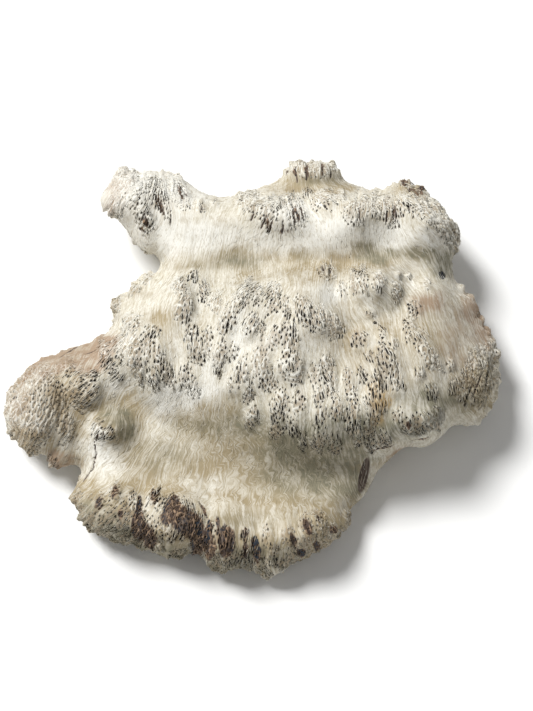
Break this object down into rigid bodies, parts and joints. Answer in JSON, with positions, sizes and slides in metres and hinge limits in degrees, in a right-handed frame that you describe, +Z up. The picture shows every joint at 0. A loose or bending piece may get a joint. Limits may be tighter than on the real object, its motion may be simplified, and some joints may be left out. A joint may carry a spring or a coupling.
{
  "type": "burl bowl blank",
  "caption": "Debarked burl cap sawn flat underneath, with knobby swellings, clusters of bark eyes and smooth combed hollows, as a blank for turning a bowl.",
  "frame": {"origin": "on the sawn face, under the middle of the blank's outline as it is seen from the front above", "axes": "+Z up from the sawn face towards the grown face; +X to the right, along the length of the two long ridges; -Y towards the low front ridge"},
  "size_m": [0.3833, 0.3452, 0.121],
  "materials": {
    "burl_wood": "bare debarked wood, weathered cream with tan stains"
  },
  "bodies": {
    "root": {"burl_blank": "burl_wood"}
  },
  "joints": []
}
